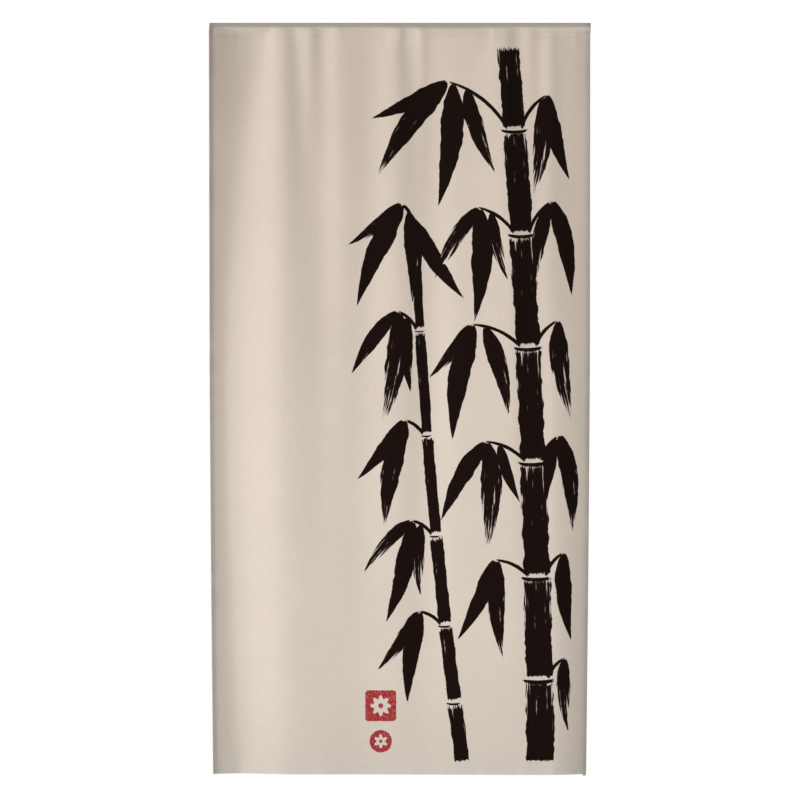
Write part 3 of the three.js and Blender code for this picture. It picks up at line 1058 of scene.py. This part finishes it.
WHITE = (1, 1, 1, 1)
FLOOR_DROP = 2.06
FLOOR_HALF = 6.0
FLOOR_GLOW = 0.38
CAMERA_DISTANCE = 6.0
FRAME_SIZE = 1.9145  # the width of the picture at the curtain
FRAME_CENTRE_DROP = 0.9026
SENSOR = 36.0
FACING_BACK = (math.radians(90), 0, 0)  # turns a lamp or a camera to look along +Y

# Suns by azimuth from the front (left positive) and elevation, in degrees
KEY = dict(azimuth=66, elevation=2, strength=3.4, spread=14)
BACK = dict(azimuth=238, elevation=14, strength=4.3, spread=18)
FILL_POWER = 16.6
FILL_SIZE = 0.9
FILL_PLACE = (0.05, -2.2, -1.24)
SKY_LEVEL = 0.30  # strength level with the curtain
SKY_ABOVE = 0.10
SKY_HEIGHTS = (-0.1, 0.7)  # it fades between directions that rise by these shares


def glow_for_camera(t, lighting):
    """White where the camera looks at it, and the given shader where it lights the cloth."""
    shown = t.node("ShaderNodeEmission", {"Color": WHITE, "Strength": 1.0}).outputs[0]
    seen = t.node("ShaderNodeLightPath").outputs["Is Camera Ray"]
    return t.node("ShaderNodeMixShader", {0: seen, 1: lighting, 2: shown}).outputs[0]


def floor_material():
    """A white floor that is clear from below."""
    material, t, _ = new_material("floor_white", {})
    dim = t.node("ShaderNodeEmission", {"Color": WHITE, "Strength": FLOOR_GLOW}).outputs[0]
    under_side = t.node("ShaderNodeNewGeometry").outputs["Backfacing"]
    clear = t.node("ShaderNodeBsdfTransparent").outputs[0]
    surface = t.node("ShaderNodeMixShader", {0: under_side, 1: glow_for_camera(t, dim), 2: clear})
    t.put(t.tree.nodes["Material Output"].inputs["Surface"], surface.outputs[0])
    return material


def make_floor():
    """A plain floor below the hem."""
    signs = ((-1, -1), (1, -1), (1, 1), (-1, 1))
    corners = [(x * FLOOR_HALF, y * FLOOR_HALF, -FLOOR_DROP) for x, y in signs]
    mesh = bpy.data.meshes.new("floor")
    mesh.from_pydata(corners, [], [(0, 1, 2, 3)])
    mesh.materials.append(floor_material())
    floor = add_object("floor", mesh)


def make_surround():
    """A white surround that lights less than it shows, and least from above."""
    world = bpy.data.worlds.new("surround")
    bpy.context.scene.world = world
    world.use_nodes = True
    t = Tree(world.node_tree)
    height = t.split(t.node("ShaderNodeTexCoord").outputs["Generated"])[2]
    strength = t.ramp(height, *SKY_HEIGHTS, SKY_LEVEL, SKY_ABOVE)
    dim = t.node("ShaderNodeBackground", {"Color": WHITE, "Strength": strength}).outputs[0]
    t.put(t.tree.nodes["World Output"].inputs["Surface"], glow_for_camera(t, dim))


def add_sun(name, azimuth, elevation, strength, spread):
    light = bpy.data.lights.new(name, "SUN")
    light.energy = strength
    light.angle = math.radians(spread)
    sun = add_object(name, light)
    turn = math.radians(azimuth)
    rise = math.tan(math.radians(elevation))
    towards = Vector((-math.sin(turn), -math.cos(turn), rise))
    sun.rotation_euler = (-towards).to_track_quat("-Z", "Y").to_euler()


def make_lights():
    """A soft key from the left, a front fill a little below the middle, and a sun on the back."""
    add_sun("key", **KEY)
    add_sun("back", **BACK)
    light = bpy.data.lights.new("fill", "AREA")
    light.energy = FILL_POWER
    light.size = FILL_SIZE
    fill = add_object("fill", light)
    fill.location = FILL_PLACE
    fill.rotation_euler = FACING_BACK
    fill.visible_camera = False


def make_camera():
    data = bpy.data.cameras.new("camera")
    data.sensor_width = SENSOR
    data.lens = SENSOR * CAMERA_DISTANCE / FRAME_SIZE
    camera = add_object("camera", data)
    camera.location = (0, -CAMERA_DISTANCE, -FRAME_CENTRE_DROP)
    camera.rotation_euler = FACING_BACK
    bpy.context.scene.camera = camera
    bpy.context.scene.view_settings.view_transform = "Standard"


# The pieces and their stage

panel, panel_x, panel_drop = make_panel()
print_panel(panel, panel_x, panel_drop)
pocket, pocket_length = make_pocket()
pocket.data.materials.append(cloth_material("pocket_cloth", 0))
stitches = make_stitches()

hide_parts("panel")
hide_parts("rod_pocket")
for piece in (panel, pocket, stitches):
    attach(piece, "root")

make_floor()
make_surround()
make_lights()
make_camera()
